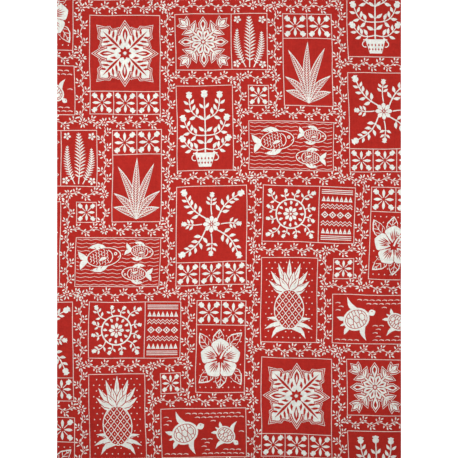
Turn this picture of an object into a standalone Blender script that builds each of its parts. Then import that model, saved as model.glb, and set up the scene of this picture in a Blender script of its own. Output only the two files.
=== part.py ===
"""A cut length of quilt-print cotton, laid out on a flat surface with its printed face up.

Metres, +Z up. The origin is on the surface, under the middle of the cloth. +Y runs along the
cloth's length and +X across its width.
"""

import math
from collections import namedtuple

import bmesh
import bpy

MM = 0.001

# Driving dimensions
WIDTH = 480 * MM
LENGTH = 640 * MM
THICKNESS = 1.2 * MM
CELL = 20 * MM

# The cloth lies flat but for a few low swells. Each is a soft ridge: x and y are its middle,
# heading_deg is the way it runs, counted from +X, and it fades out over its length and breadth.
Swell = namedtuple("Swell", "x y heading_deg length breadth height")
SWELLS = (
    Swell(78 * MM, -130 * MM, 92, 310 * MM, 92 * MM, 2.2 * MM),
    Swell(15 * MM, -270 * MM, 3, 430 * MM, 76 * MM, 1.7 * MM),
    Swell(-150 * MM, 45 * MM, 76, 270 * MM, 104 * MM, 1.5 * MM),
    Swell(166 * MM, 214 * MM, 101, 190 * MM, 84 * MM, 1.6 * MM),
    Swell(-118 * MM, 226 * MM, 18, 210 * MM, 92 * MM, 1.3 * MM),
    Swell(212 * MM, -52 * MM, 86, 210 * MM, 72 * MM, 1.8 * MM),
)

PRINT_RED = (0.36, 0.026, 0.022, 1.0)
COTTON_ROUGHNESS = 0.85


def clear_scene():
    for old in list(bpy.data.objects):
        bpy.data.objects.remove(old, do_unlink=True)


def fade(share):
    """1 at the middle of a swell and 0 from its end or side on, smooth at both."""
    return math.cos(math.pi / 2 * share) ** 2 if abs(share) < 1 else 0.0


def lift(x, y):
    """How far the cloth's underside stands off the surface at this place."""
    height = 0.0
    for swell in SWELLS:
        heading = math.radians(swell.heading_deg)
        east, north = x - swell.x, y - swell.y
        along = east * math.cos(heading) + north * math.sin(heading)
        across = north * math.cos(heading) - east * math.sin(heading)
        height += swell.height * fade(2 * along / swell.length) * fade(2 * across / swell.breadth)
    return height


def printed_cotton():
    material = bpy.data.materials.new("printed_cotton")
    material.use_nodes = True
    shader = material.node_tree.nodes["Principled BSDF"]
    shader.inputs["Base Color"].default_value = PRINT_RED
    shader.inputs["Roughness"].default_value = COTTON_ROUGHNESS
    shader.inputs["Metallic"].default_value = 0.0
    return material


def make_cloth():
    """The underside is a grid laid over the swells, and it is drawn straight up to the top face."""
    sheet = bmesh.new()
    bmesh.ops.create_grid(
        sheet, x_segments=round(WIDTH / CELL), y_segments=round(LENGTH / CELL), size=0.5
    )
    bmesh.ops.scale(sheet, vec=(WIDTH, LENGTH, 1), verts=sheet.verts)
    for vert in sheet.verts:
        vert.co.z = lift(vert.co.x, vert.co.y)
    top = bmesh.ops.extrude_face_region(sheet, geom=sheet.faces[:])["geom"]
    top_verts = [item for item in top if isinstance(item, bmesh.types.BMVert)]
    bmesh.ops.translate(sheet, vec=(0, 0, THICKNESS), verts=top_verts)
    bmesh.ops.recalc_face_normals(sheet, faces=sheet.faces[:])

    mesh = bpy.data.meshes.new("cloth")
    sheet.to_mesh(mesh)
    sheet.free()
    mesh.shade_smooth()
    mesh.set_sharp_from_angle(angle=math.radians(40))
    mesh.materials.append(printed_cotton())
    cloth = bpy.data.objects.new("cloth", mesh)
    bpy.context.scene.collection.objects.link(cloth)
    return cloth


clear_scene()
make_cloth()
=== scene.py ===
"""Looks of a cut length of quilt-print cotton, laid out on a pale floor with its printed face up.

The print is drawn here as flat outlines in millimetres, from the middle of the cloth, with +X
across it and +Y along it. A point is a complex number, so that one multiplication turns it and
changes its size. An outline is bare, where the red ink is held back and the white cotton shows;
thin, where a bare line is so narrow that the ink creeps into it a little; or inked, where ink lies
over a bare figure. The outline that is drawn last is the one that shows.
"""

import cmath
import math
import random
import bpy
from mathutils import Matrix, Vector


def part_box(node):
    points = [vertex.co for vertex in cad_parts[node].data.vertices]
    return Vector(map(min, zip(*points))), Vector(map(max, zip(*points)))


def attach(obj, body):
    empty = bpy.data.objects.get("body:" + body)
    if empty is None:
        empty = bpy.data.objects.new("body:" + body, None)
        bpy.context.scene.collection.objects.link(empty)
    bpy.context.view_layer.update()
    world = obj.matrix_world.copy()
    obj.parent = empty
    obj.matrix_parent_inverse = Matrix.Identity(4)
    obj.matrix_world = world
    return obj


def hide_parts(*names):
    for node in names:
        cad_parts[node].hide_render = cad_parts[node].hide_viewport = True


bl_info = {
    "name": "Quilt-print cotton cloth",
    "version": (1, 0, 0),
    "blender": (4, 5, 0),
    "location": "3D View > Sidebar > Cloth",
    "description": "Lays a quilt-print cotton cloth over its packed solid and sets up its view",
    "category": "Object",
}

from collections import namedtuple

import bmesh
import bpy
import numpy as np
from bpy.props import FloatProperty, FloatVectorProperty, PointerProperty
from mathutils import Vector
from mathutils.geometry import delaunay_2d_cdt

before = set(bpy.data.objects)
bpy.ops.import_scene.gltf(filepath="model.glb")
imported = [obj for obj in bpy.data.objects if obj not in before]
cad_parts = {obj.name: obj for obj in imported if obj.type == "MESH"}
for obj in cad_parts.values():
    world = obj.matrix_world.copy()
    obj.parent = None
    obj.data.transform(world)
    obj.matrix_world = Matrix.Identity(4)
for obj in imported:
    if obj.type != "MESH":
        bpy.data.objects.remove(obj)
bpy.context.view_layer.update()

MM = 0.001
NODE = "cloth"
CLOTH_LOW, CLOTH_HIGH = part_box(NODE)
WIDTH_MM, LENGTH_MM = (round((CLOTH_HIGH[n] - CLOTH_LOW[n]) / MM, 3) for n in (0, 1))


# Drawing with complex numbers

BARE, THIN, INKED = "bare", "thin", "inked"


def towards(degrees, reach=1.0):
    return cmath.rect(reach, math.radians(degrees))


def heading_of(step):
    return math.degrees(cmath.phase(step))


def bow(start, end, bend=0.0, points=6):
    """A path from start to end that bows to its left by bend, a share of its length."""
    shares = [n / (points - 1) for n in range(points)]
    return [start + (end - start) * complex(s, bend * math.sin(math.pi * s)) for s in shares]


def arc(middle, radius, start, end, points=8):
    step = (end - start) / (points - 1)
    return [middle + towards(start + step * n, radius) for n in range(points)]


def disc(middle, radius, points=8):
    return [middle + towards(360 * n / points, radius) for n in range(points)]


def oval(middle, across, along, points=16):
    turns = (2 * math.pi * n / points for n in range(points))
    return [middle + complex(across * math.cos(turn), along * math.sin(turn)) for turn in turns]


def star(middle, outer, inner, rays, turn=90.0):
    reach = (outer, inner)
    return [middle + towards(turn + 180 * n / rays, reach[n % 2]) for n in range(2 * rays)]


def stroke(path, width, end_width=None):
    """A line along the path, as an outline. It may narrow or widen towards its end."""
    end_width = width if end_width is None else end_width
    last = len(path) - 1
    near, far = [], []
    for n, point in enumerate(path):
        ahead = path[min(n + 1, last)] - path[max(n - 1, 0)]
        half = (width + (end_width - width) * n / last) / 2
        side = 1j * ahead / abs(ahead) * half
        near.append(point - side)
        far.append(point + side)
    return near + far[::-1]


def leaf(root, tip, breadth, bend=0.0, belly=0.45, points=3, lobes=0, depth=0.0, grow=0.0):
    """A leaf or petal. It is broadest at belly, a share of its length, and lobes wave its edge.
    grow pushes its whole edge out."""
    spine = tip - root
    unit = spine / abs(spine)
    power = math.log(0.5) / math.log(belly)
    near, far = [], []
    for n in range(1, points + 1):
        share = n / (points + 1)
        middle = root + spine * complex(share, bend * math.sin(math.pi * share))
        half = breadth / 2 * math.sin(math.pi * share**power)
        half = half * (1 - depth * (0.5 + 0.5 * math.cos(2 * math.pi * lobes * share))) + grow
        near.append(middle - 1j * unit * half)
        far.append(middle + 1j * unit * half)
    return [root - unit * grow, *near, tip + 1.6 * unit * grow, *far[::-1]]


# One side of a three-lobed bud that is 1 long: how far along it and how far out.
BUD_SIDE = ((0.0, 0.07), (0.16, 0.34), (0.46, 0.42), (0.60, 0.28), (0.84, 0.44), (0.92, 0.14))


def bud(root, tip):
    spine = tip - root
    near = [root + spine * complex(along, -out) for along, out in BUD_SIDE]
    far = [root + spine * complex(along, out) for along, out in BUD_SIDE[::-1]]
    return [*near, tip, *far]


def bare(*outlines):
    return [(BARE, outline) for outline in outlines]


def thin(*outlines):
    return [(THIN, outline) for outline in outlines]


def inked(*outlines):
    return [(INKED, outline) for outline in outlines]


def placed(shapes, at=0.0, turn=0.0, size=1.0):
    spin = towards(turn, size)
    return [(ink, [at + spin * point for point in outline]) for ink, outline in shapes]


# Lines and leafy bands between the blocks, in millimetres

BAND = 22.0
FRAME_LINE = 0.9
STEM_LINE = 0.8
SPRIG_GAP = 11.6
STEM_SWING = 1.5
SPRIG_LEAF = 2.05
KNOT_CLEARANCE = 6.5


def frame_line(start, end, chance):
    """A ruled line with the small wander of a hand-cut screen."""
    pieces = max(2, round(abs(end - start) / 24))
    side = 1j * (end - start) / abs(end - start)
    path = bow(start, end, points=pieces + 1)
    path[1:-1] = [point + side * chance.uniform(-0.3, 0.3) for point in path[1:-1]]
    return thin(stroke(path, FRAME_LINE))


def frame_box(width, height, chance):
    """Four lines round a block, each run out over the corners so that they close."""
    shapes = []
    corner = complex(-width / 2, -height / 2)
    for side in (width, height * 1j, -width, -height * 1j):
        over = side / abs(side) * FRAME_LINE / 2
        shapes += frame_line(corner - over, corner + side + over, chance)
        corner += side
    return shapes


# The leaves of a sprig: how far along its twig, their heading from it and their length.
SPRIG_LEAVES = (
    (2.0, -62, 5.4),
    (3.3, 74, 5.8),
    (6.2, -48, 6.0),
    (7.4, 56, 6.0),
    (8.4, 4, 6.2),
)


def sprig(chance):
    """A twig along +X with narrow leaves that stand a little off it, as the screen leaves them."""
    shapes = thin(stroke([0, 8.2], STEM_LINE, 0.7))
    for foot, heading, length in SPRIG_LEAVES:
        heading += chance.uniform(-8, 8)
        length *= chance.uniform(0.9, 1.1)
        root, tip = foot + towards(heading, 1.1), foot + towards(heading, length)
        shapes += bare(leaf(root, tip, SPRIG_LEAF, belly=0.52, points=2))
    return shapes


def knot(chance):
    """The star of narrow leaves where bands meet."""
    shapes = []
    for n in range(8):
        heading = 45 * n + chance.uniform(-9, 9)
        root, tip = towards(heading, 2.2), towards(heading, chance.uniform(5.8, 8.4))
        shapes += bare(leaf(root, tip, SPRIG_LEAF, belly=0.52, points=2))
    return shapes + thin(disc(0, 1.1, 6))


def vine(start, end, chance):
    """A wavy stem from start to end, with a sprig beside each crest and trough."""
    gaps = max(2, round(abs(end - start) / SPRIG_GAP))
    step = abs(end - start) / gaps
    stem = [complex(step * n / 3, STEM_SWING * math.sin(math.pi * n / 3)) for n in range(3 * gaps + 1)]
    shapes = thin(stroke(stem, STEM_LINE))
    for n in range(gaps):
        side = 1 - 2 * (n % 2)
        foot = complex(step * (n - 0.06), 0)
        lean = side * (38 + chance.uniform(-6, 6))
        shapes += placed(sprig(chance), foot, lean, chance.uniform(0.96, 1.06))
    return placed(shapes, start, heading_of(end - start))


# Figures inside the blocks. Each takes the width and height it has to fill, and a source of chance
# that a regular one leaves alone.


def flower(petals, reach, breadth=0.62):
    shapes = []
    for n in range(petals):
        heading = 360 * n / petals
        shapes += bare(
            leaf(towards(heading, reach * 0.12), towards(heading, reach), reach * breadth, belly=0.62)
        )
    return shapes + inked(disc(0, reach * 0.2)) + bare(disc(0, reach * 0.1, 6))


def rosette(width, height, chance):
    """Four long petals and four budded stalks round a red dot."""
    half = min(width, height) / 2
    shapes = []
    for n in range(4):
        along, slant = 90 * n, 90 * n + 45
        reach = 0.42 * (width if n % 2 == 0 else height)
        neck = towards(slant, half * 0.64)
        shapes += bare(
            leaf(towards(along, half * 0.10), towards(along, reach), half * 0.25, belly=0.58, points=4),
            stroke([towards(slant, half * 0.16), neck], 0.9),
            bud(neck, towards(slant, half * 1.14)),
        )
    return shapes + inked(disc(0, half * 0.08, 6))


def rosette_row(width, height, chance):
    """As many rosette squares as the strip holds, with a line between each two."""
    along, across = (1, 1j) if width > height else (1j, 1)
    long, short = max(width, height), min(width, height)
    count = round(long / short)
    shapes = []
    for n in range(count):
        middle = along * long * ((n + 0.5) / count - 0.5)
        shapes += placed(rosette(short, short, chance), middle)
        if n:
            line = middle - along * long / count / 2
            shapes += frame_line(line - across * short / 2, line + across * short / 2, chance)
    return shapes


def branch(path, leaf_length, pairs, chance, first=0.3, width=1.4):
    """A stem along the path, with pairs of leaves on short stalks and a bud at its end."""
    shapes = bare(stroke(path, width, 0.7 * width))
    last = len(path) - 1
    for n in range(pairs):
        place = last * (first + (0.80 - first) * n / max(pairs - 1, 1))
        before = int(place)
        step = path[before + 1] - path[before]
        foot = path[before] + step * (place - before)
        length = leaf_length * (1 - 0.07 * n)
        for side in (1, -1):
            heading = heading_of(step) + side * (58 - 6 * n) + chance.uniform(-6, 6)
            root, tip = foot + towards(heading, 0.16 * length), foot + towards(heading, 1.12 * length)
            shapes += bare(stroke([foot, root], 0.8 * width))
            shapes += bare(leaf(root, tip, 0.43 * length, 0.07 * side, points=4))
    unit = (path[-1] - path[-2]) / abs(path[-1] - path[-2])
    return shapes + bare(bud(path[-1] - 0.1 * unit, path[-1] + 0.95 * leaf_length * unit))


def wreath(width, height, chance):
    """A ring with leafy, budded twigs round its outside and a flower inside."""
    half = complex(width, height) / 2
    ring = min(width, height) * 0.262
    # A stroke doesn't close, so the ring is three of them.
    circle = disc(0, ring, 36)
    shapes = bare(*[stroke([circle[n % 36] for n in range(k, k + 13)], 2.0) for k in (0, 12, 24)])
    for n in range(12):
        turn = 30 * n + 15
        ray = towards(turn)
        edge = 0.93 / max(abs(ray.real) / half.real, abs(ray.imag) / half.imag)
        reach = min(edge, ring * 2.3) - 7.5
        path = bow(ray * ring, ray * reach, 0.16, 7)
        pairs, leaf_length, first = (2, 7.2, 0.4) if reach - ring > 12 else (1, 6.3, 0.5)
        shapes += branch(path, leaf_length, pairs, chance, first, 1.5)
    for n in range(12):
        foot = towards(30 * n, ring - 1.6)
        shapes += bare(leaf(foot, foot * 0.66, 3.6, 0.12))
    for n in range(8):
        root, tip = towards(45 * n, ring * 0.1), towards(45 * n, ring * 0.53)
        shapes += bare(leaf(root, tip, ring * 0.25, belly=0.62))
    return shapes + inked(disc(0, ring * 0.15)) + bare(disc(0, ring * 0.08, 6))


def echoed(draw, gaps, line=0.8):
    """A figure with lines of echo quilting round it. draw gives the figure, its edge pushed out."""
    shapes = []
    for gap in sorted(gaps, reverse=True):
        shapes += draw(gap + line) + cleared(draw(gap))
    return shapes + draw(0)


def cleared(shapes):
    """The same outlines as ink, to keep what is drawn under them away from a figure."""
    return [(INKED, outline) for ink, outline in shapes]


def veined(root, tip, breadth, bend, belly=0.5, line=0.9, pairs=4, lobes=0, depth=0.0):
    """A leaf drawn in line: its edge, its midrib and pairs of side veins."""
    spine = tip - root
    unit = spine / abs(spine)
    points = 3 * max(lobes, 2) - 1
    edge = {"bend": bend, "belly": belly, "points": points, "lobes": lobes, "depth": depth}
    shapes = inked(leaf(root, tip, breadth, **edge, grow=1.3))
    shapes += bare(leaf(root, tip, breadth, **edge))
    inner = root + unit * 1.6 * line, tip - unit * 2.4 * line
    shapes += inked(leaf(*inner, breadth - 2 * line, **edge))
    shapes += bare(stroke(bow(root, tip - unit, bend, 5), line, 0.6 * line))
    for n in range(pairs):
        share = 0.16 + 0.62 * n / max(pairs - 1, 1)
        foot = root + spine * complex(share, bend * math.sin(math.pi * share))
        reach = 0.5 * breadth * math.sin(math.pi * (share + 0.14)) ** 0.8
        for side in (1, -1):
            shapes += bare(stroke([foot, foot + unit * towards(44 * side, reach)], 0.8 * line))
    return shapes


# The slits beside a breadfruit leaf's rib: how far out and how long, as shares of half the room.
BREADFRUIT_SLITS = ((0.30, 0.26), (0.47, 0.31), (0.64, 0.31), (0.82, 0.22))


def breadfruit(width, height, chance):
    """A folded and cut quilt figure: four broad lobed leaves on the slants, four narrow ones."""
    half = min(width, height) / 2 * 0.84

    def figure(grow):
        shapes = bare(disc(0, half * 0.26 + grow, 12))
        for n in range(4):
            slant, along = 90 * n + 45, 90 * n
            root, tip = towards(slant, half * 0.06), towards(slant, half * 1.18)
            shapes += bare(
                leaf(root, tip, half * 0.82, belly=0.5, points=19, lobes=4, depth=0.46, grow=grow)
            )
            root, tip = towards(along, half * 0.06), towards(along, half * 0.94)
            shapes += bare(leaf(root, tip, half * 0.32, belly=0.6, points=5, grow=grow))
        return shapes

    shapes = echoed(figure, (1.7, 4.2))
    for n in range(4):
        slant, along = 90 * n + 45, 90 * n
        shapes += inked(
            leaf(towards(slant, half * 0.18), towards(slant, half * 1.08), half * 0.09),
            leaf(towards(along, half * 0.34), towards(along, half * 0.86), half * 0.18, belly=0.6),
        )
        for share, length in BREADFRUIT_SLITS:
            for side in (1, -1):
                foot = towards(slant, half * share) + towards(slant + 90 * side, half * 0.05)
                tip = foot + towards(slant + side * 52, half * length)
                shapes += inked(leaf(foot, tip, half * 0.085, points=2))
        shapes += bare(leaf(towards(along, half * 0.44), towards(along, half * 0.74), half * 0.06))
    for n in range(8):
        shapes += inked(leaf(towards(45 * n, half * 0.04), towards(45 * n, half * 0.23), half * 0.11))
    return shapes


# The pairs of leaves on a plumeria spray, then their slits: how far out and how long, as shares of
# half the room, and degrees from the stem.
PLUMERIA_LEAVES = ((0.56, 0.38, 56), (0.88, 0.34, 40))
PLUMERIA_SLITS = ((0.60, 0.26, 56), (0.92, 0.22, 40))


def plumeria(width, height, chance):
    """A folded and cut quilt figure: broad petals, and four sprays that reach the corners."""
    half = min(width, height) / 2 * 0.88

    def figure(grow):
        shapes = []
        for n in range(4):
            slant, along = 90 * n + 45, 90 * n
            stem = [towards(slant, half * share) for share in (0.2, 0.7, 1.08)]
            shapes += bare(stroke(stem, half * 0.08 + 2 * grow, half * 0.04 + 2 * grow))
            for share, length, away in PLUMERIA_LEAVES:
                foot = towards(slant, half * share)
                for side in (1, -1):
                    tip = foot + towards(slant + side * away, half * length)
                    shapes += bare(leaf(foot, tip, half * 0.16, -0.12 * side, grow=grow))
            root, tip = towards(slant, half * 0.98), towards(slant, half * 1.28)
            shapes += bare(leaf(root, tip, half * 0.15, grow=grow))
            root, tip = towards(along, half * 0.3), towards(along, half * 0.92)
            shapes += bare(leaf(root, tip, half * 0.24, belly=0.66, grow=grow))
        for n in range(8):
            tip = towards(45 * n + 22.5, half * 0.52)
            shapes += bare(leaf(0, tip, half * 0.26, belly=0.66, points=4, grow=grow))
        return shapes

    shapes = echoed(figure, (1.5,))
    for n in range(4):
        slant, along = 90 * n + 45, 90 * n
        root, tip = towards(along, half * 0.54), towards(along, half * 0.84)
        shapes += inked(leaf(root, tip, half * 0.13, belly=0.6))
        root, tip = towards(slant, half * 0.50), towards(slant, half * 1.14)
        shapes += inked(leaf(root, tip, half * 0.035, points=1))
        for share, length, away in PLUMERIA_SLITS:
            for side in (1, -1):
                foot = towards(slant, half * share) + towards(slant + side * away, half * 0.06)
                tip = foot + towards(slant + side * away, half * length)
                shapes += inked(leaf(foot, tip, half * 0.045, -0.12 * side, points=1))
    for n in range(8):
        root, tip = towards(45 * n, half * 0.10), towards(45 * n, half * 0.40)
        shapes += inked(leaf(root, tip, half * 0.05, points=1))
        root, tip = towards(45 * n + 22.5, half * 0.17), towards(45 * n + 22.5, half * 0.44)
        shapes += inked(leaf(root, tip, half * 0.075, belly=0.6, points=2))
    return shapes + inked(disc(0, half * 0.11)) + bare(star(0, half * 0.085, half * 0.04, 5))


# Pin dots, in millimetres. The margin is what they leave free at two opposite sides together.
DOT_PITCH = 8.0
DOT_RADIUS = 1.0
DOT_MARGIN = 11.0


def pin_dots(width, height):
    """Small dots in staggered rows over the whole room."""
    shapes = []
    rows, columns = (round((side - DOT_MARGIN) / DOT_PITCH) for side in (height, width))
    for row in range(rows + 1):
        shift = 0.5 * (row % 2)
        for column in range(columns + 1 - row % 2):
            at = DOT_PITCH * complex(column + shift - columns / 2, row - rows / 2)
            shapes += bare(disc(at, DOT_RADIUS, 4))
    return shapes


# Blades of the pineapple: degrees from upright, and length as a share of the room's height or width.
CROWN_BLADES = ((84, 0.19), (0, 0.37), (22, 0.35), (43, 0.32), (64, 0.27), (14, 0.23), (36, 0.19))
FOOT_BLADES = ((66, 0.43), (94, 0.43), (122, 0.36))


def pineapple(width, height, chance):
    """A pineapple in line, with an eye in each of its squares, a spiky crown and leaves at its
    foot, on pin dots."""
    middle = -0.11j * height
    across, along = width * 0.27, height * 0.235
    crown, foot = middle + 0.93j * along, middle - 0.93j * along
    shapes = pin_dots(width, height)
    shapes += inked(oval(middle, across + 2, along + 2, 20))
    blades = [(crown, away, height * length, 1) for away, length in CROWN_BLADES]
    blades += [(foot, away, width * length, -1) for away, length in FOOT_BLADES]
    for root, away, length, droop in blades:
        for side in (1, -1) if away else (1,):
            tip = root + towards(90 + side * away, length)
            breadth, bend = width * 0.095, 0.0018 * away * side * droop
            shapes += inked(leaf(root, tip, breadth, bend, grow=1.1))
            shapes += bare(leaf(root, tip, breadth, bend))
            start = root + (tip - root) * 0.4
            shapes += inked(leaf(start, root + (tip - root) * 0.86, 0.9, bend, points=1))
    shapes += bare(oval(middle, across, along, 24)) + inked(oval(middle, across - 1.3, along - 1.3, 24))
    gap, slope = width * 0.092, towards(52)
    for slant in (52, 128):
        for n in range(-4, 5):
            start, end = chord(middle, across - 0.6, along - 0.6, slant, n * gap)
            if abs(end - start) > gap:
                shapes += bare(stroke([start, end], 0.9))
    for row in range(-7, 8):
        for column in range(-5, 6):
            at = complex(column / slope.imag, row / slope.real) * gap / 2
            if (row + column) % 2 and abs(complex(at.real / (across - 3), at.imag / (along - 3))) < 1:
                shapes += bare(disc(middle + at, 1.0, 4))
    return shapes


def chord(middle, across, along, slant, offset):
    """The two ends of a straight line that crosses an oval on a slant, offset from its middle."""
    run = towards(slant)
    run_in, off_in = complex(run.real / across, run.imag / along), 1j * run * offset
    off_in = complex(off_in.real / across, off_in.imag / along)
    a, b = abs(run_in) ** 2, (run_in * off_in.conjugate()).real
    inside = max(b * b - a * (abs(off_in) ** 2 - 1), 0)
    ends = ((-b - math.sqrt(inside)) / a, (-b + math.sqrt(inside)) / a)
    return [middle + 1j * run * offset + run * end for end in ends]


# The fronds: foot and top across, as shares of half the room's width, how far up the top is, as a
# share of half its height, the bend and the size of the leaflets.
FRONDS = (
    (-0.01, -0.02, 0.92, -0.02, 0.95),
    (-0.22, -0.66, 0.46, 0.09, 0.62),
    (0.22, 0.68, 0.36, -0.09, 0.62),
)
FERN_FLOWERS = ((-0.72, -0.80), (0.73, -0.81), (-0.66, 0.80), (0.72, 0.78))


def fern(width, height, chance):
    """Three arching fronds with narrow leaflets, and a small flower in each corner."""
    shapes = []
    corner = complex(width / 2, height / 2)
    for foot, top, rise, bend, size in FRONDS:
        low = complex(foot * corner.real, -0.92 * corner.imag)
        path = bow(low, complex(top * corner.real, rise * corner.imag), bend, 17)
        shapes += bare(stroke(path, 1.4, 0.6))
        for n in range(2, 16):
            heading = heading_of(path[n + 1] - path[n - 1])
            length = width * 0.22 * size * math.sin(math.pi * (0.14 + 0.80 * n / 16)) ** 0.8
            for side in (1, -1):
                tip = path[n] + towards(heading + side * (62 - 1.2 * n), length)
                shapes += bare(leaf(path[n], tip, 2.0 * math.sqrt(size), -0.1 * side, points=2))
    for across, up in FERN_FLOWERS:
        at = complex(across * corner.real, up * corner.imag)
        reach = min(7.5, width * 0.11)
        shapes += inked(disc(at, reach + 1.4, 10)) + placed(flower(5, reach), at, chance.uniform(0, 72))
    return shapes


# The headings of the hibiscus's leaves, in degrees.
HIBISCUS_LEAVES = (51, 92, 130, 229, 268, 309)


def hibiscus(width, height, chance):
    """A five-petalled flower in full face over veined leaves, on pin dots."""
    half = min(width, height) / 2
    shapes = pin_dots(width, height)
    for heading in HIBISCUS_LEAVES:
        ray = towards(heading)
        reach = min(0.88 / max(abs(ray.real) * 2 / width, abs(ray.imag) * 2 / height), 1.42 * half)
        root, tip = ray * half * 0.3, ray * reach
        shapes += veined(root, tip, half * 0.5, 0.08, belly=0.55, line=1.0, lobes=5, depth=0.12)
    for n in range(5):
        tip = towards(72 * n + 18, half * 0.84)
        edge = {"bend": 0.03, "belly": 0.66, "points": 13, "lobes": 6, "depth": 0.07}
        for grow, ink in ((1.2, inked), (0.0, bare)):
            shapes += ink(leaf(0, tip, half * 0.76, **edge, grow=grow))
        for away in (-17, -9, 0, 9, 17):
            heading = 72 * n + 18 + away
            far = towards(heading, half * (0.72 - 0.008 * abs(away)))
            shapes += inked(leaf(towards(heading, half * 0.2), far, half * 0.05, points=2))
    shapes += inked(star(0, half * 0.25, half * 0.13, 5, 18))
    tip = towards(52, half * 0.72)
    shapes += inked(stroke(bow(0, tip, 0.1), half * 0.17, half * 0.14))
    shapes += bare(stroke(bow(0, tip, 0.1), half * 0.075, half * 0.05))
    for share in (0.55, 0.7, 0.85, 1.0):
        for side in (0.09, -0.09):
            at = tip * complex(share, side + 0.1 * math.sin(math.pi * share))
            shapes += bare(disc(at, half * 0.035, 4))
    return shapes


# The limbs on one side of a turtle: foot as shares of half the shell, heading in degrees, length as
# a share of the turtle's size, breadth as a share of its length, and bend.
TURTLE_LIMBS = (
    (0.5 + 0.72j, 112, 0.44, 0.26, 0.2),
    (-0.8 + 0.5j, 148, 0.2, 0.46, 0.1),
)


def turtle(size):
    """A sea turtle seen from above, which swims along +X."""
    long, wide = size * 0.36, size * 0.29
    shapes = []
    for side in (1, -1):
        for foot, heading, length, breadth, bend in TURTLE_LIMBS:
            foot = complex(foot.real * long, foot.imag * wide * side)
            tip = foot + towards(heading * side, size * length)
            back = foot - towards(heading * side, size * 0.06)
            shapes += bare(leaf(back, tip, size * length * breadth * 1.2, bend * side, points=6))
    shapes += bare(
        leaf(0.82 * long, 1.54 * long, size * 0.17, belly=0.62, points=6),
        leaf(-0.9 * long, -1.3 * long, size * 0.06, points=2),
        oval(0, long, wide, 22),
    )
    rim_long, rim_wide = long * 0.82, wide * 0.80
    rim = oval(0, rim_long, rim_wide, 20)
    shapes += inked(stroke(rim[:11], 0.9), stroke([*rim[10:], rim[0]], 0.9))
    for middle in (0.46 * long, 0.0, -0.46 * long):
        plate = oval(middle, long * 0.23, wide * 0.36, 6)
        shapes += inked(*[stroke([plate[n - 1], plate[n]], 0.9) for n in range(6)])
        for corner in (plate[1], plate[2], plate[4], plate[5]):
            out = rim_wide * math.sqrt(1 - (corner.real / rim_long) ** 2)
            on_rim = complex(corner.real, math.copysign(out, corner.imag))
            shapes += inked(stroke([corner, on_rim], 0.9))
    return shapes + inked(disc(1.3 * long + 0.03j * size, size * 0.016, 6))


# The room a turtle takes: discs over its body and limbs, each a middle and a radius as shares of
# its size.
TURTLE_ROOM = (
    (0, 0.42),
    (0.46, 0.17),
    (0.08 + 0.33j, 0.18),
    (0.08 - 0.33j, 0.18),
    (0.01 + 0.52j, 0.17),
    (0.01 - 0.52j, 0.17),
    (-0.38 + 0.20j, 0.18),
    (-0.38 - 0.20j, 0.18),
    (-0.46, 0.14),
)


def swell_lines(width, height, pitch, keep_clear):
    """Rows of short curling crests, but for those near a place that is kept clear."""
    shapes = []
    step = 1.7 * pitch
    for row in range(int(height // pitch)):
        y = pitch * (row + 0.5) - height / 2
        for n in range(int(width // step)):
            start = complex(step * (n + 0.2 + 0.5 * (row % 2)) - width / 2, y)
            end = start + step * 0.8
            crest = bow(start, end, 0.16, 5)
            clear = all(abs(point - at) > reach for at, reach in keep_clear for point in crest)
            if clear and end.real < width / 2:
                shapes += thin(stroke(crest, 0.5, 1.6))
    return shapes


def turtles(width, height, chance):
    """A large turtle and a small one among lines of swell."""
    swimmers = (
        (complex(-0.22 * width, 0.0), 0.78 * height, 24),
        (complex(0.26 * width, -0.05 * height), 0.58 * height, -38),
    )
    clear = []
    for at, size, turn in swimmers:
        clear += [(at + towards(turn, size) * spot, size * reach) for spot, reach in TURTLE_ROOM]
    shapes = swell_lines(width - 4, height - 4, 5.1, clear)
    for at, size, turn in swimmers:
        shapes += placed(turtle(size), at, turn)
    return shapes


def reef_fish(size):
    """A round fish that swims along +X, drawn in line, with rows of scales."""
    shapes = reef_fish_outline(size)
    shapes += inked(oval(0, 0.46 * size - 1.2, 0.26 * size - 1.2, 22))
    scale = size * 0.066
    for column in range(-5, 2):
        for row in range(-3, 4):
            at = complex(column * scale * 1.12, (row + 0.5 * (column % 2)) * scale * 1.3)
            if abs(complex(at.real / 0.39, at.imag / 0.19)) < size:
                shapes += bare(stroke(arc(at, scale * 0.66, -82, 82, 5), 0.8))
    for side in (1, -1):
        for share in (0.35, 0.6, 0.85):
            root = complex(0.12 - 0.5 * share, (0.22 + 0.05 * share) * side) * size
            shapes += inked(stroke([root, root + complex(-0.05, 0.05 * side) * size], 0.7))
    eye = complex(0.32, 0.05) * size
    shapes += bare(
        stroke(arc(0.05 * size, size * 0.19, -64, 64, 6), 1.1),
        disc(eye, size * 0.045),
        stroke(bow(complex(0.37, -0.06) * size, complex(0.455, -0.01) * size, 0.1, 3), 0.8),
    )
    fin = complex(0.09, -0.03) * size, complex(-0.15, -0.10) * size, size * 0.09, -0.1
    return shapes + inked(leaf(*fin, grow=1.2), disc(eye, size * 0.02, 6)) + bare(leaf(*fin))


# The reef fish: middle across and up, and size, as shares of the room, and the way they swim.
FISH_SCHOOL = (
    (-0.165, 0.10, 0.77, 8),
    (0.28, 0.22, 0.52, -9),
    (0.20, -0.23, 0.56, 176),
)


def fish(width, height, chance):
    """Three reef fish in front of rippled water."""
    shapes = []
    rows, ripples = round((height - 5) / 5.3), 2 * round(width / 13)
    for row in range(rows + 1):
        y = (height - 5) * (row / rows - 0.5)
        xs = [(width - 4) * (n / ripples - 0.5) for n in range(ripples + 1)]
        line = [complex(x, y + 0.7 * (-1) ** n) for n, x in enumerate(xs)]
        shapes += thin(stroke(line, 0.7))
    for across, up, size, turn in FISH_SCHOOL:
        place = complex(across * width, up * height)
        clear = cleared(reef_fish_outline(size * height, 1.8))
        shapes += placed(clear + reef_fish(size * height), place, turn)
    return shapes


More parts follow.
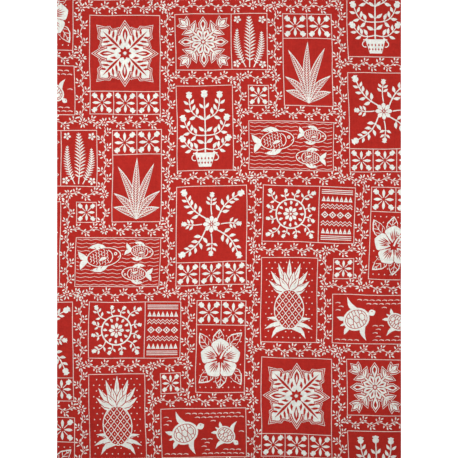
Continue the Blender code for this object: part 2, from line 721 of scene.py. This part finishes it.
def reef_fish_outline(size, grow=0.0):
    shapes = bare(oval(0, 0.46 * size + grow, 0.26 * size + grow, 22))
    for side in (1, -1):
        tail, tail_tip = complex(-0.40 * size, 0), complex(-0.66, 0.25 * side) * size
        fin, fin_tip = complex(0.12, 0.22 * side) * size, complex(-0.40, 0.30 * side) * size
        shapes += bare(
            leaf(tail, tail_tip, size * 0.16, 0.14 * side, grow=grow),
            leaf(fin, fin_tip, size * 0.15, -0.1 * side, grow=grow),
        )
    return shapes


# The blades of the ti plant: degrees from upright, length as a share of the room's height, and bend.
TI_BLADES = (
    (62, 0.50, -0.10),
    (-63, 0.48, 0.10),
    (41, 0.70, -0.09),
    (-39, 0.68, 0.09),
    (20, 0.84, -0.06),
    (-17, 0.86, 0.05),
    (0, 0.91, 0.02),
)


def ti_leaves(width, height, chance):
    """A tuft of long blades, drawn in line with slanting veins."""
    shapes = []
    foot = complex(0, -0.46 * height)
    for away, length, bend in TI_BLADES:
        reach = min(length * height, 0.94 * width / max(abs(math.sin(math.radians(away))), 0.01) / 2)
        shapes += placed(blade(reach, 0.15 * width, bend), foot, 90 + away)
    return shapes


def blade(length, breadth, bend):
    """A long leaf along +X in line: an outline, a midrib and veins that slant to its edge."""
    root, tip = 2.2, length - 3.0
    shapes = bare(leaf(0, length, breadth, bend, belly=0.5, points=8))
    bend_inside = bend * length / (tip - root)
    shapes += inked(leaf(root, tip, breadth - 2.0, bend_inside, belly=0.5, points=8))
    rib = bow(0, length * 0.96, bend, 9)
    shapes += bare(stroke(rib, 1.1, 0.7))
    veins = round(length / 3.4)
    for n in range(2, veins - 2):
        share = n / veins
        foot = length * complex(share, bend * math.sin(math.pi * share))
        reach = breadth * 0.56 * math.sin(math.pi * min(share + 0.07, 1))
        for side in (1, -1):
            shapes += bare(stroke([foot, foot + towards(38 * side, reach * 1.15)], 0.7))
    return shapes


def kapa(width, height, chance):
    """Bands of stamped bark-cloth marks: rules, teeth, zigzags and lozenges."""
    long, short = max(width, height) - 8, min(width, height) - 7
    bands = [kind(short) for kind in KAPA_BANDS]
    gap = (long - sum(breadth for breadth, marks in bands)) / (len(bands) - 1)
    shapes = []
    foot = -long / 2
    for breadth, marks in bands:
        shapes += placed(marks, 1j * foot)
        foot += breadth + gap
    return placed(shapes, turn=90) if width > height else shapes


def kapa_rules(width):
    lines = [stroke([complex(-width / 2, y), complex(width / 2, y)], 1.0) for y in (0.5, 3.0, 5.5)]
    return 6.0, bare(*lines)


def kapa_teeth(width):
    step = width / round(width / 6.5)
    shapes = []
    for n in range(round(width / step)):
        left = n * step - width / 2
        foot, far, peak = left + 0.2, left + step - 0.2, complex(left + step / 2, 7.4)
        shapes += bare([complex(foot, 0), complex(far, 0), peak])
        shapes += inked(disc(complex(left + step / 2, 2.4), 0.85, 3))
    return 7.4, shapes


def kapa_zigzags(width):
    count = 2 * round(width / 6)
    lines = []
    for base in (0.6, 4.2):
        path = [complex(width * (n / count - 0.5), base + 3 * (n % 2)) for n in range(count + 1)]
        lines.append(stroke(path, 1.1))
    return 7.8, bare(*lines)


def kapa_lozenges(width):
    step = width / round(width / 10.5)
    shapes = []
    for n in range(round(width / step)):
        at = complex((n + 0.5) * step - width / 2, 4.8)
        shapes += bare(oval(at, step * 0.48, 4.8, 4)) + inked(oval(at, step * 0.30, 3.0, 4))
        shapes += bare(oval(at, step * 0.14, 1.4, 4))
    return 9.6, shapes


KAPA_BANDS = (
    kapa_rules,
    kapa_teeth,
    kapa_zigzags,
    kapa_lozenges,
    kapa_zigzags,
    kapa_teeth,
    kapa_rules,
)


def sprays(width, height, chance):
    """Four curved leafy sprays to the corners and four short ones between, round a small flower."""
    half = min(width, height) / 2
    stretch = complex(width, height) / 2 / half
    shapes = []
    for n in range(4):
        corner = towards(90 * n + 45, half * 1.06)
        corner = complex(corner.real * stretch.real, corner.imag * stretch.imag)
        start = towards(90 * n + 45, half * 0.24)
        shapes += branch(bow(start, corner, 0.11, 9), half * 0.22, 4, chance, 0.22, 1.8)
        side = towards(90 * n, half * 0.70)
        side = complex(side.real * stretch.real, side.imag * stretch.imag)
        path = bow(towards(90 * n, half * 0.27), side, 0.05, 5)
        shapes += branch(path, half * 0.165, 2, chance, 0.56, 1.5)
    return shapes + flower(8, half * 0.25, 0.5)


# The pairs of side branches: how far up the stem, then how far out and up they reach, as shares of
# the room.
BOUQUET_BRANCHES = ((0.07, 0.37, 0.09), (0.31, 0.37, 0.17), (0.60, 0.27, 0.25))


def bouquet(width, height, chance):
    """An upright stem with arching side branches, leaves and buds, in a small two-handled pot."""
    foot, top = -0.29j * height, 0.36j * height
    shapes = branch(bow(foot, top, 0.0, 9), width * 0.15, 4, chance, 0.16, 2.0)
    for rise, reach, lift_up in BOUQUET_BRANCHES:
        start = foot + (top - foot) * rise
        for side in (1, -1):
            end = start + complex(side * reach * width, lift_up * height)
            shapes += branch(bow(start, end, -0.22 * side, 9), width * 0.135, 3, chance, 0.30, 1.6)
    rim, base = -0.30j * height, -0.46j * height
    across = 0.18 * width
    below_rim = rim - 0.032j * height
    shapes += inked(stroke([below_rim - 1.6 * across, below_rim + 1.6 * across], 0.08 * height))
    shapes += bare([base - 0.6 * across, base + 0.6 * across, rim + across, rim - across])
    shapes += bare(stroke([rim - 1.2 * across, rim + 1.2 * across], 2.0))
    for side in (1, -1):
        handle = rim + complex(side * across * 1.02, -0.05 * height)
        shapes += bare(stroke(arc(handle, 0.035 * height, 90 - 15 * side, 90 - 200 * side, 7), 1.3))
    marks = 5
    for share in (0.3, 0.62):
        middle = base + (rim - base) * share
        spread = across * (0.62 + 0.3 * share) * 1.7
        for n in range(marks):
            shapes += inked(oval(middle + spread * (n / (marks - 1) - 0.5), 1.3, 2.1, 4))
    return shapes


# Layout of the print, in millimetres. A block is left, bottom, width and height with half of the
# band round it. Its panels run along or up, each with its size, where 0 takes the rest, and the
# figures of the two versions of the block.
Block = namedtuple("Block", "name left bottom width height runs panels")
Panel = namedtuple("Panel", "size first second")


def rosette_strip(size):
    return Panel(size, rosette_row, rosette_row)


BLOCKS = (
    Block("tall", 0, 0, 100, 140, "up", (Panel(0, pineapple, bouquet),)),
    Block("small", 100, 90, 50, 50, "up", (Panel(0, rosette, rosette),)),
    Block("low", 100, 0, 140, 90, "along", (Panel(0, turtles, fish),)),
    Block("slim", 150, 90, 90, 150, "up", (Panel(0, hibiscus, ti_leaves), rosette_strip(34))),
    Block("broad", 0, 140, 150, 100, "along", (Panel(78, wreath, plumeria), Panel(0, kapa, fern))),
    Block("square", 240, 0, 120, 160, "up", (rosette_strip(32), Panel(0, breadfruit, sprays))),
)
STEP_ALONG = complex(240, 160)
STEP_UP = complex(-120, 240)
LAYOUT_ORIGIN = complex(-205, -330)
LAYOUT_STEPS = range(-5, 6)
LAYOUT_MARGIN = 200
BLOCK_TILT = 1.2


def block_figures(block, version):
    """The block's frame, panels and figures, from its middle."""
    chance = random.Random(f"{block.name} {version}")
    wide, high = block.width - BAND, block.height - BAND
    run, across, long, short = (1j, 1, high, wide) if block.runs == "up" else (1, 1j, wide, high)
    shapes = []
    start = -long / 2
    spare = long - sum(panel.size for panel in block.panels)
    for n, panel in enumerate(block.panels):
        size = panel.size or spare
        room = (wide, size) if block.runs == "up" else (size, high)
        draw = (panel.first, panel.second)[version]
        shapes += placed(draw(*room, chance), run * (start + size / 2))
        if n:
            end = across * short / 2
            shapes += frame_line(run * start - end, run * start + end, chance)
        start += size
    return placed(shapes + frame_box(wide, high, chance), turn=chance.uniform(-BLOCK_TILT, BLOCK_TILT))


def corners_of(block, origin):
    low = origin + complex(block.left, block.bottom)
    return low, low + block.width, low + 1j * block.height, low + block.width + 1j * block.height


def stops_on(start, end, joints):
    """The joints that lie on the line from start to end, in order."""
    shares = [(joint - start) / (end - start) for joint in joints]
    on_line = [s.real for s in shares if abs(s.imag) < 1e-6 and -1e-6 < s.real < 1 + 1e-6]
    return [start + (end - start) * share for share in sorted(on_line)]


def print_shapes():
    """Every outline of the print that touches the cloth, in the order in which they are drawn."""
    reach = complex(WIDTH_MM / 2, LENGTH_MM / 2)
    blocks = []
    for along in LAYOUT_STEPS:
        for up in LAYOUT_STEPS:
            origin = LAYOUT_ORIGIN + STEP_ALONG * along + STEP_UP * up
            blocks += [(block, up % 2, origin) for block in BLOCKS]
    blocks = [
        (block, version, origin)
        for block, version, origin in blocks
        if near_cloth(corners_of(block, origin), reach, LAYOUT_MARGIN)
    ]
    corners = [corner for block, version, origin in blocks for corner in corners_of(block, origin)]
    joints = sorted({(round(corner.real, 3), round(corner.imag, 3)) for corner in corners})
    joints = [complex(*joint) for joint in joints]

    shapes = []
    for block, version, origin in blocks:
        low, right, up = corners_of(block, origin)[:3]
        for end in (right, up):
            stops = stops_on(low, end, joints)
            for n, (start, stop) in enumerate(zip(stops, stops[1:])):
                chance = random.Random(f"{block.name} {end == up} {n}")
                inset = KNOT_CLEARANCE * (stop - start) / abs(stop - start)
                shapes += vine(start + inset, stop - inset, chance)
    for n, joint in enumerate(joints):
        chance = random.Random(n)
        shapes += placed(knot(chance), joint, chance.uniform(0, 40))
    figures = {(block, version): block_figures(block, version) for block, version, origin in blocks}
    for block, version, origin in blocks:
        middle = sum(corners_of(block, origin)) / 4
        shapes += placed(figures[block, version], middle)
    shapes = [(ink, [pulled(point) for point in outline]) for ink, outline in shapes]
    return [(ink, outline) for ink, outline in shapes if near_cloth(outline, reach, 0)]


def near_cloth(outline, reach, margin):
    across = [point.real for point in outline]
    along = [point.imag for point in outline]
    return (
        max(across) > -reach.real - margin
        and min(across) < reach.real + margin
        and max(along) > -reach.imag - margin
        and min(along) < reach.imag + margin
    )


def pulled(point):
    """Where a place of the print ends up, because the cloth is pulled a little out of square."""
    x, y = point.real, point.imag
    across = 1.9 * math.sin(y / 83 + 0.4) + 0.35 * math.sin(y / 15 + x / 40)
    along = 1.6 * math.sin(x / 71 + 1.1) + 0.35 * math.sin(x / 14 - y / 37)
    return complex(x + across, y + along)


# Cloth, in millimetres until the mesh is made

# The low swells that the cloth's solid has. Each is a soft ridge: x and y are its middle,
# heading_deg is the way it runs, counted from +X, and it fades out over its length and breadth.
Swell = namedtuple("Swell", "x y heading_deg length breadth height")
SWELLS = (
    Swell(78, -130, 92, 310, 92, 2.2),
    Swell(15, -270, 3, 430, 76, 1.7),
    Swell(-150, 45, 76, 270, 104, 1.5),
    Swell(166, 214, 101, 190, 84, 1.6),
    Swell(-118, 226, 18, 210, 92, 1.3),
    Swell(212, -52, 86, 210, 72, 1.8),
)
# Half the height of the tallest pucker.
PUCKER = 0.16


def fade(share):
    """1 at the middle of a swell and 0 from its end or side on, smooth at both."""
    return math.cos(math.pi / 2 * share) ** 2 if abs(share) < 1 else 0.0


def lift(x, y):
    """How far the cloth's underside stands off the floor, with the small puckers of limp cotton."""
    height = 0.0
    for swell in SWELLS:
        place = complex(x - swell.x, y - swell.y) / towards(swell.heading_deg)
        along, across = 2 * place.real / swell.length, 2 * place.imag / swell.breadth
        height += swell.height * fade(along) * fade(across)
    puckers = math.sin(x / 13 + math.sin(y / 31)) * math.sin(y / 17 + math.sin(x / 23))
    return height + PUCKER * (1 + puckers)


# How much ink shows: on the printed face, and what share of it on the underside and cut edges.
INK_SHOWS = {BARE: 0.0, THIN: 0.07, INKED: 1.0}
INK_ON_BACK = 0.42
INK_ON_EDGE = 0.2
# A point that bends its outline by less than this, and a spot smaller than this in square
# millimetres, is left out.
JOIN_SLACK = 0.05
LEAST_SPOT = 0.4
# How close two points may be before the cut takes them for one.
CUT_SLACK = 1e-4


def area(outline):
    """The area inside an outline, which is under zero where the outline runs clockwise."""
    return sum((a.conjugate() * b).imag for a, b in zip(outline, outline[1:] + outline[:1])) / 2


def cut_out(rim, shapes, inner=()):
    """Cuts what is inside the rim into triangles along the shapes' outlines, with the inner points
    too. Returns the points, and each triangle with its ink."""
    points, outlines = [], []
    for outline in [rim] + [outline for ink, outline in shapes]:
        run = range(len(points), len(points) + len(outline))
        outlines.append(list(run if area(outline) > 0 else reversed(run)))
        points += [(point.real, point.imag) for point in outline]
    points += [(point.real, point.imag) for point in inner]
    result = delaunay_2d_cdt([Vector(point) for point in points], [], outlines, 1, CUT_SLACK, True)
    cut_points, faces, sources_of_faces = result[0], result[2], result[5]
    inks = [INKED] + [ink for ink, outline in shapes]
    triangles = [
        (face, inks[max(sources)]) for face, sources in zip(faces, sources_of_faces) if 0 in sources
    ]
    return [complex(*point) for point in cut_points], triangles


def without_straight_points(outline):
    """The outline without the points that bend it by less than JOIN_SLACK."""
    kept = outline[:1]
    for point, ahead in zip(outline[1:], outline[2:] + outline[:1]):
        reach = ahead - kept[-1]
        if reach and abs(((point - kept[-1]).conjugate() * reach).imag) > JOIN_SLACK * abs(reach):
            kept.append(point)
    return kept


def loops_round(triangles):
    """The loops of points round these triangles. They run clockwise round a gap."""
    sides = set()
    for triangle in triangles:
        sides |= set(zip(triangle, (*triangle[1:], triangle[0])))
    ways = {}
    for start, end in sorted(sides):
        if (end, start) not in sides:
            ways.setdefault(start, []).append(end)
    loops = []
    for start in ways:
        path = [start]
        while ways[path[-1]]:
            point = ways[path[-1]].pop()
            if point in path:
                first = path.index(point)
                loops.append(path[first:])
                path = path[:first]
            path.append(point)
    return loops


def joined(rim, shapes):
    """The same print without overlaps: one loop round each spot, with those inside it after it."""
    points, triangles = cut_out(rim, shapes)
    spots = []
    for ink in (BARE, THIN):
        for loop in loops_round([triangle for triangle, own_ink in triangles if own_ink == ink]):
            loop = without_straight_points([points[n] for n in loop])
            size = round(area(loop), 4)
            if abs(size) > LEAST_SPOT:
                spots.append((-abs(size), size > 0, ink if size > 0 else INKED, loop))
    return [spot[2:] for spot in sorted(spots, key=lambda spot: spot[:2])]


def put_in_order(sheet, cut_edges):
    """Sorts the faces of the cut edges by their place round the cloth, after all others. The
    extrusion makes them in no fixed order, and this way each run makes the same mesh."""
    sheet.faces.index_update()
    places = {}
    for face in cut_edges:
        middle = face.calc_center_median()
        places[face] = len(sheet.faces) + heading_of(complex(middle.x, middle.y)) % 360
    sheet.faces.sort(key=lambda face: places.get(face, face.index))


def make_sheet(settings):
    """Cuts the underside along the print and draws it up to the printed face, so that the cloth is
    one closed sheet."""
    half = complex(WIDTH_MM, LENGTH_MM) / 2
    step = settings.mesh_step / MM
    across, along = round(WIDTH_MM / step), round(LENGTH_MM / step)
    xs = [WIDTH_MM * n / across - half.real for n in range(across + 1)]
    ys = [LENGTH_MM * n / along - half.imag for n in range(along + 1)]
    rim = [complex(x, -half.imag) for x in xs[:-1]] + [complex(half.real, y) for y in ys[:-1]]
    rim += [-point for point in rim]
    inner = [complex(x, y) for x in xs[1:-1] for y in ys[1:-1]]
    points, triangles = cut_out(rim, joined(rim, print_shapes()), inner)

    sheet = bmesh.new()
    ink_layer = sheet.faces.layers.float.new("ink")
    verts = [sheet.verts.new((p.real * MM, p.imag * MM, lift(p.real, p.imag) * MM)) for p in points]
    for triangle, ink in triangles:
        face = sheet.faces.new([verts[n] for n in triangle])
        face[ink_layer] = INK_SHOWS[ink]
        face.smooth = True
    loose = [vert for vert in sheet.verts if not vert.link_faces]
    bmesh.ops.delete(sheet, geom=loose, context="VERTS")
    underside = sheet.faces[:]
    top = bmesh.ops.extrude_face_region(sheet, geom=underside)["geom"]
    top_verts = [item for item in top if isinstance(item, bmesh.types.BMVert)]
    top_faces = {item for item in top if isinstance(item, bmesh.types.BMFace)}
    bmesh.ops.translate(sheet, vec=(0, 0, settings.thickness), verts=top_verts)
    for face in underside:
        face[ink_layer] *= INK_ON_BACK
    cut_edges = set(sheet.faces) - top_faces - set(underside)
    for face in cut_edges:
        face[ink_layer] = INK_ON_EDGE
        for edge in face.edges:
            edge.smooth = False
    put_in_order(sheet, cut_edges)
    bmesh.ops.recalc_face_normals(sheet, faces=sheet.faces[:])
    mesh = bpy.data.meshes.new("printed_cloth")
    sheet.to_mesh(mesh)
    sheet.free()
    return mesh


# The bake's map, as shares of its square: the printed face is large, and the underside and the
# four cut edges lie beside it.
MAP_MARGIN = 0.005
MAP_FACE = (0.7425, 0.99)
MAP_BACK_LEFT = 0.765
MAP_BACK = (0.2175, 0.29)
MAP_EDGE_BOTTOM = 0.32
MAP_EDGE_LENGTH = 0.66
MAP_EDGE_PITCH = 0.055
MAP_EDGE_WIDTH = 0.03


def add_bake_map(mesh):
    loops = len(mesh.loops)
    corner_verts = np.empty(loops, dtype=np.int32)
    mesh.loops.foreach_get("vertex_index", corner_verts)
    places = np.empty(len(mesh.vertices) * 3)
    mesh.vertices.foreach_get("co", places)
    places = places.reshape(-1, 3)
    normals = np.empty(len(mesh.polygons) * 3)
    mesh.polygons.foreach_get("normal", normals)
    totals = np.empty(len(mesh.polygons), dtype=np.int32)
    mesh.polygons.foreach_get("loop_total", totals)
    normal = np.repeat(normals.reshape(-1, 3), totals, axis=0)
    place = places[corner_verts]
    share = place[:, :2] / (WIDTH_MM * MM, LENGTH_MM * MM) + 0.5
    on_edge = np.abs(normal[:, 2]) < 0.5
    uv = MAP_MARGIN + share * MAP_FACE
    back = (normal[:, 2] < 0) & ~on_edge
    uv[back] = (MAP_BACK_LEFT, MAP_MARGIN) + share[back] * MAP_BACK
    faces_x = on_edge & (np.abs(normal[:, 0]) > 0.5)
    side = np.where(faces_x, 0, 2) + (normal[:, 0] + normal[:, 1] > 0)
    along = np.where(faces_x, share[:, 1], share[:, 0])
    upper = corner_verts >= len(mesh.vertices) // 2
    uv[on_edge, 0] = (MAP_BACK_LEFT + side * MAP_EDGE_PITCH + upper * MAP_EDGE_WIDTH)[on_edge]
    uv[on_edge, 1] = (MAP_EDGE_BOTTOM + along * MAP_EDGE_LENGTH)[on_edge]
    layer = mesh.uv_layers.new(name="OFBake")
    layer.uv.foreach_set("vector", uv.astype(np.float32).ravel())


# Materials

# The cotton's uneven grain: the size of a spot in millimetres across, along and up, its detail, and
# how far it shades the colour and raises the surface. Thick threads run along the cloth, then
# across it. Then come broad patches of ink, the mottle of its uneven uptake, and a finer mottle.
Grain = namedtuple("Grain", "spot detail shade raised")
GRAINS = (
    Grain((1.7, 46, 1), 1.0, 0.16, 0.9),
    Grain((52, 1.9, 1), 1.0, 0.16, 0.9),
    Grain((64, 58, 20), 3.0, 0.14, 0.0),
    Grain((8.5, 8.5, 8.5), 2.0, 0.28, 0.0),
    Grain((2.6, 2.6, 2.6), 2.0, 0.40, 0.0),
)
WEAVE_RAISED = 0.5


def linear(hex_colour):
    """The linear RGBA of an sRGB hex colour."""
    shares = [int(hex_colour[n : n + 2], 16) / 255 for n in (1, 3, 5)]
    return (*[s / 12.92 if s <= 0.04045 else ((s + 0.055) / 1.055) ** 2.4 for s in shares], 1.0)


def add_node(tree, kind, inputs=None, **settings):
    """Adds a node. Of its inputs, an output socket is linked and anything else is a value."""
    node = tree.nodes.new(kind)
    for name, value in settings.items():
        setattr(node, name, value)
    for name, value in (inputs or {}).items():
        if isinstance(value, bpy.types.NodeSocket):
            tree.links.new(value, node.inputs[name])
        else:
            node.inputs[name].default_value = value
    return node


def new_material(name):
    material = bpy.data.materials.new(name)
    material.use_nodes = True
    material.node_tree.nodes.clear()
    return material, material.node_tree


def screen_printed_cotton(settings):
    """Plain-weave cotton, bleached and then screen printed in one red with its figures held back.

    To the eye it is matt, with crisp-edged bare figures in a cool white, a dense red that is a
    little uneven where the ink sank in, and faint streaks along and across from thick threads."""
    material, tree = new_material("screen_printed_cotton")
    place = add_node(tree, "ShaderNodeTexCoord").outputs["Object"]
    to_mm = {0: place, "Scale": 1 / MM}
    mm = add_node(tree, "ShaderNodeVectorMath", to_mm, operation="SCALE").outputs[0]
    ink = add_node(tree, "ShaderNodeAttribute", attribute_name="ink").outputs["Fac"]

    # The real threads are 0.42 mm apart. They are drawn twice as coarse, so that they show in a
    # close view. From as far as the photo's camera they don't show, and nor do they in the photo.
    # The ridges of a wave texture are pi / 10 apart at a scale of 1.
    scale = math.pi / 10 * MM / settings.thread_pitch
    height = WEAVE_RAISED
    for axis in ("X", "Y"):
        ridges = {"Vector": mm, "Scale": scale, "Distortion": 0.0}
        ridges = add_node(tree, "ShaderNodeTexWave", ridges, bands_direction=axis).outputs["Fac"]
        product = {0: ridges, 1: height}
        height = add_node(tree, "ShaderNodeMath", product, operation="MULTIPLY").outputs[0]

    shade = 1 - sum(grain.shade for grain in GRAINS) / 2
    for grain in GRAINS:
        stretch = {0: mm, 1: [1 / size for size in grain.spot]}
        stretched = add_node(tree, "ShaderNodeVectorMath", stretch, operation="MULTIPLY").outputs[0]
        spots = {"Vector": stretched, "Scale": 1.0, "Detail": grain.detail}
        spots = add_node(tree, "ShaderNodeTexNoise", spots).outputs["Fac"]
        sums = {0: spots, 1: grain.shade, 2: shade}
        shade = add_node(tree, "ShaderNodeMath", sums, operation="MULTIPLY_ADD").outputs[0]
        sums = {0: spots, 1: grain.raised, 2: height}
        height = add_node(tree, "ShaderNodeMath", sums, operation="MULTIPLY_ADD").outputs[0]

    # A thin layer of red ink takes away green and blue long before red, as a film of dye does.
    film = [red / white for red, white in zip(settings.red, settings.white)]
    film = add_node(tree, "ShaderNodeGamma", {"Color": (*film, 1), "Gamma": ink}).outputs[0]
    colour = {0: film, 1: settings.white}
    colour = add_node(tree, "ShaderNodeVectorMath", colour, operation="MULTIPLY").outputs[0]
    colour = {0: colour, "Scale": shade}
    colour = add_node(tree, "ShaderNodeVectorMath", colour, operation="SCALE").outputs[0]
    relief = {"Height": height, "Strength": 1.0, "Distance": settings.relief}
    relief = add_node(tree, "ShaderNodeBump", relief).outputs[0]
    shader = add_node(
        tree,
        "ShaderNodeBsdfPrincipled",
        {
            "Base Color": colour,
            "Roughness": settings.roughness,
            "Sheen Weight": 0.05,
            "Sheen Roughness": 0.5,
            "Specular IOR Level": 0.08,
            "Normal": relief,
        },
    )
    add_node(tree, "ShaderNodeOutputMaterial", {"Surface": shader.outputs[0]})
    return material


def white_paper(settings):
    """Seamless studio paper, matt and near white, which glows enough to read as a blank ground."""
    material, tree = new_material("studio_paper")
    shader = add_node(
        tree,
        "ShaderNodeBsdfPrincipled",
        {
            "Base Color": (*settings.floor, 1),
            "Roughness": 0.9,
            "Emission Color": (1, 1, 1, 1),
            "Emission Strength": settings.floor_glow,
        },
    )
    add_node(tree, "ShaderNodeOutputMaterial", {"Surface": shader.outputs[0]})
    return material


# The add-on: sizes and colours, one operator for the cloth and one for the stage, and a panel


class ClothSettings(bpy.types.PropertyGroup):
    thickness: FloatProperty(
        name="Thickness",
        description="From the underside to the printed face",
        default=0.5 * MM,
        unit="LENGTH",
    )
    mesh_step: FloatProperty(
        name="Mesh step",
        description="Spacing of the points between the outlines",
        default=10 * MM,
        unit="LENGTH",
    )
    thread_pitch: FloatProperty(
        name="Thread pitch",
        description="Spacing of the threads as drawn",
        default=0.84 * MM,
        unit="LENGTH",
    )
    red: FloatVectorProperty(
        name="Ink",
        description="Colour of the printed ground",
        subtype="COLOR",
        default=linear("#a6251e")[:3],
    )
    white: FloatVectorProperty(
        name="Bare cotton",
        description="Colour where no ink lies",
        subtype="COLOR",
        default=linear("#dcddd6")[:3],
    )
    roughness: FloatProperty(
        name="Roughness", description="Roughness of the cotton", default=0.88, subtype="FACTOR"
    )
    relief: FloatProperty(
        name="Relief", description="Height of the thick threads", default=0.12 * MM, unit="LENGTH"
    )


class StageSettings(bpy.types.PropertyGroup):
    view_side: FloatProperty(
        name="View side",
        description="Side of the square that the camera sees",
        default=639 * MM,
        unit="LENGTH",
    )
    camera_height: FloatProperty(
        name="Camera height",
        description="Height of the camera over the floor",
        default=1.3,
        unit="LENGTH",
    )
    floor: FloatVectorProperty(
        name="Floor", description="Colour of the floor", subtype="COLOR", default=linear("#f4f4f4")[:3]
    )
    floor_glow: FloatProperty(
        name="Floor glow", description="Light that the floor gives off", default=0.72, subtype="FACTOR"
    )
    lamp_place: FloatVectorProperty(
        name="Lamp place",
        description="Where the lamp hangs",
        default=(0.05, 0.08, 2.0),
        subtype="TRANSLATION",
    )
    lamp_reach: FloatProperty(
        name="Lamp reach", description="Radius at which its light ends", default=0.62, unit="LENGTH"
    )
    lamp_power: FloatProperty(name="Lamp", description="Power of the lamp", default=104.0, unit="POWER")
    window_place: FloatVectorProperty(
        name="Window place",
        description="Middle of the window",
        default=(-2.1, 0.3, 0.95),
        subtype="TRANSLATION",
    )
    window_power: FloatProperty(
        name="Window", description="Power of the window's light", default=50.0, unit="POWER"
    )
    sky: FloatProperty(
        name="Sky", description="Strength of the even light from all round", default=0.26
    )


class QUILTCLOTH_OT_lay_cloth(bpy.types.Operator):
    """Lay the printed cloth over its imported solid"""

    bl_idname = "quiltcloth.lay_cloth"
    bl_label = "Lay printed cloth"

    def execute(self, context):
        settings = context.scene.quilt_cloth
        mesh = make_sheet(settings)
        add_bake_map(mesh)
        mesh.materials.append(screen_printed_cotton(settings))
        cloth = bpy.data.objects.new("printed_cloth", mesh)
        context.scene.collection.objects.link(cloth)
        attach(cloth, "root")
        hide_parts(NODE)
        return {"FINISHED"}


# From the middle of the floor to its sides, so that a low view still ends on the floor.
FLOOR_REACH = 30.0
LAMP_RADIUS = 0.2
WINDOW_SIDE = 1.2


class QUILTCLOTH_OT_set_stage(bpy.types.Operator):
    """Add the floor, the lights and a camera that looks straight down"""

    bl_idname = "quiltcloth.set_stage"
    bl_label = "Set stage"

    def execute(self, context):
        scene, settings = context.scene, context.scene.quilt_stage
        floor_mesh = bpy.data.meshes.new("floor")
        floor = bmesh.new()
        bmesh.ops.create_grid(floor, x_segments=1, y_segments=1, size=FLOOR_REACH)
        floor.to_mesh(floor_mesh)
        floor.free()
        floor_mesh.materials.append(white_paper(settings))
        floor = bpy.data.objects.new("floor", floor_mesh)
        scene.collection.objects.link(floor)

        light = bpy.data.lights.new("lamp", "SPOT")
        light.energy = settings.lamp_power
        light.shadow_soft_size = LAMP_RADIUS
        light.spot_size = 2 * math.atan(settings.lamp_reach / settings.lamp_place[2])
        light.spot_blend = 1.0
        lamp = bpy.data.objects.new("lamp", light)
        lamp.location = settings.lamp_place
        scene.collection.objects.link(lamp)

        light = bpy.data.lights.new("window", "AREA")
        light.size = WINDOW_SIDE
        light.energy = settings.window_power
        window = bpy.data.objects.new("window", light)
        window.location = settings.window_place
        window.rotation_euler = (-Vector(settings.window_place)).to_track_quat("-Z", "Y").to_euler()
        scene.collection.objects.link(window)

        world = bpy.data.worlds.new("studio")
        world.use_nodes = True
        world.node_tree.nodes["Background"].inputs["Strength"].default_value = settings.sky
        world.node_tree.nodes["Background"].inputs["Color"].default_value = (1, 1, 1, 1)
        scene.world = world
        scene.view_settings.view_transform = "Standard"

        lens = bpy.data.cameras.new("camera")
        lens.lens = lens.sensor_width * settings.camera_height / settings.view_side
        camera = bpy.data.objects.new("camera", lens)
        camera.location = (0, 0, settings.camera_height)
        scene.collection.objects.link(camera)
        scene.camera = camera
        return {"FINISHED"}


class QUILTCLOTH_PT_panel(bpy.types.Panel):
    bl_label = "Quilt-print cloth"
    bl_space_type = "VIEW_3D"
    bl_region_type = "UI"
    bl_category = "Cloth"

    def draw(self, context):
        for settings, operator in (
            (context.scene.quilt_cloth, QUILTCLOTH_OT_lay_cloth),
            (context.scene.quilt_stage, QUILTCLOTH_OT_set_stage),
        ):
            box = self.layout.box()
            for name in type(settings).__annotations__:
                box.prop(settings, name)
            box.operator(operator.bl_idname)


CLASSES = (
    ClothSettings,
    StageSettings,
    QUILTCLOTH_OT_lay_cloth,
    QUILTCLOTH_OT_set_stage,
    QUILTCLOTH_PT_panel,
)


def register():
    for entry in CLASSES:
        bpy.utils.register_class(entry)
    bpy.types.Scene.quilt_cloth = PointerProperty(type=ClothSettings)
    bpy.types.Scene.quilt_stage = PointerProperty(type=StageSettings)


def unregister():
    del bpy.types.Scene.quilt_stage
    del bpy.types.Scene.quilt_cloth
    for entry in reversed(CLASSES):
        bpy.utils.unregister_class(entry)


def main():
    register()
    bpy.ops.quiltcloth.lay_cloth()
    bpy.ops.quiltcloth.set_stage()


if __name__ == "__main__":
    main()
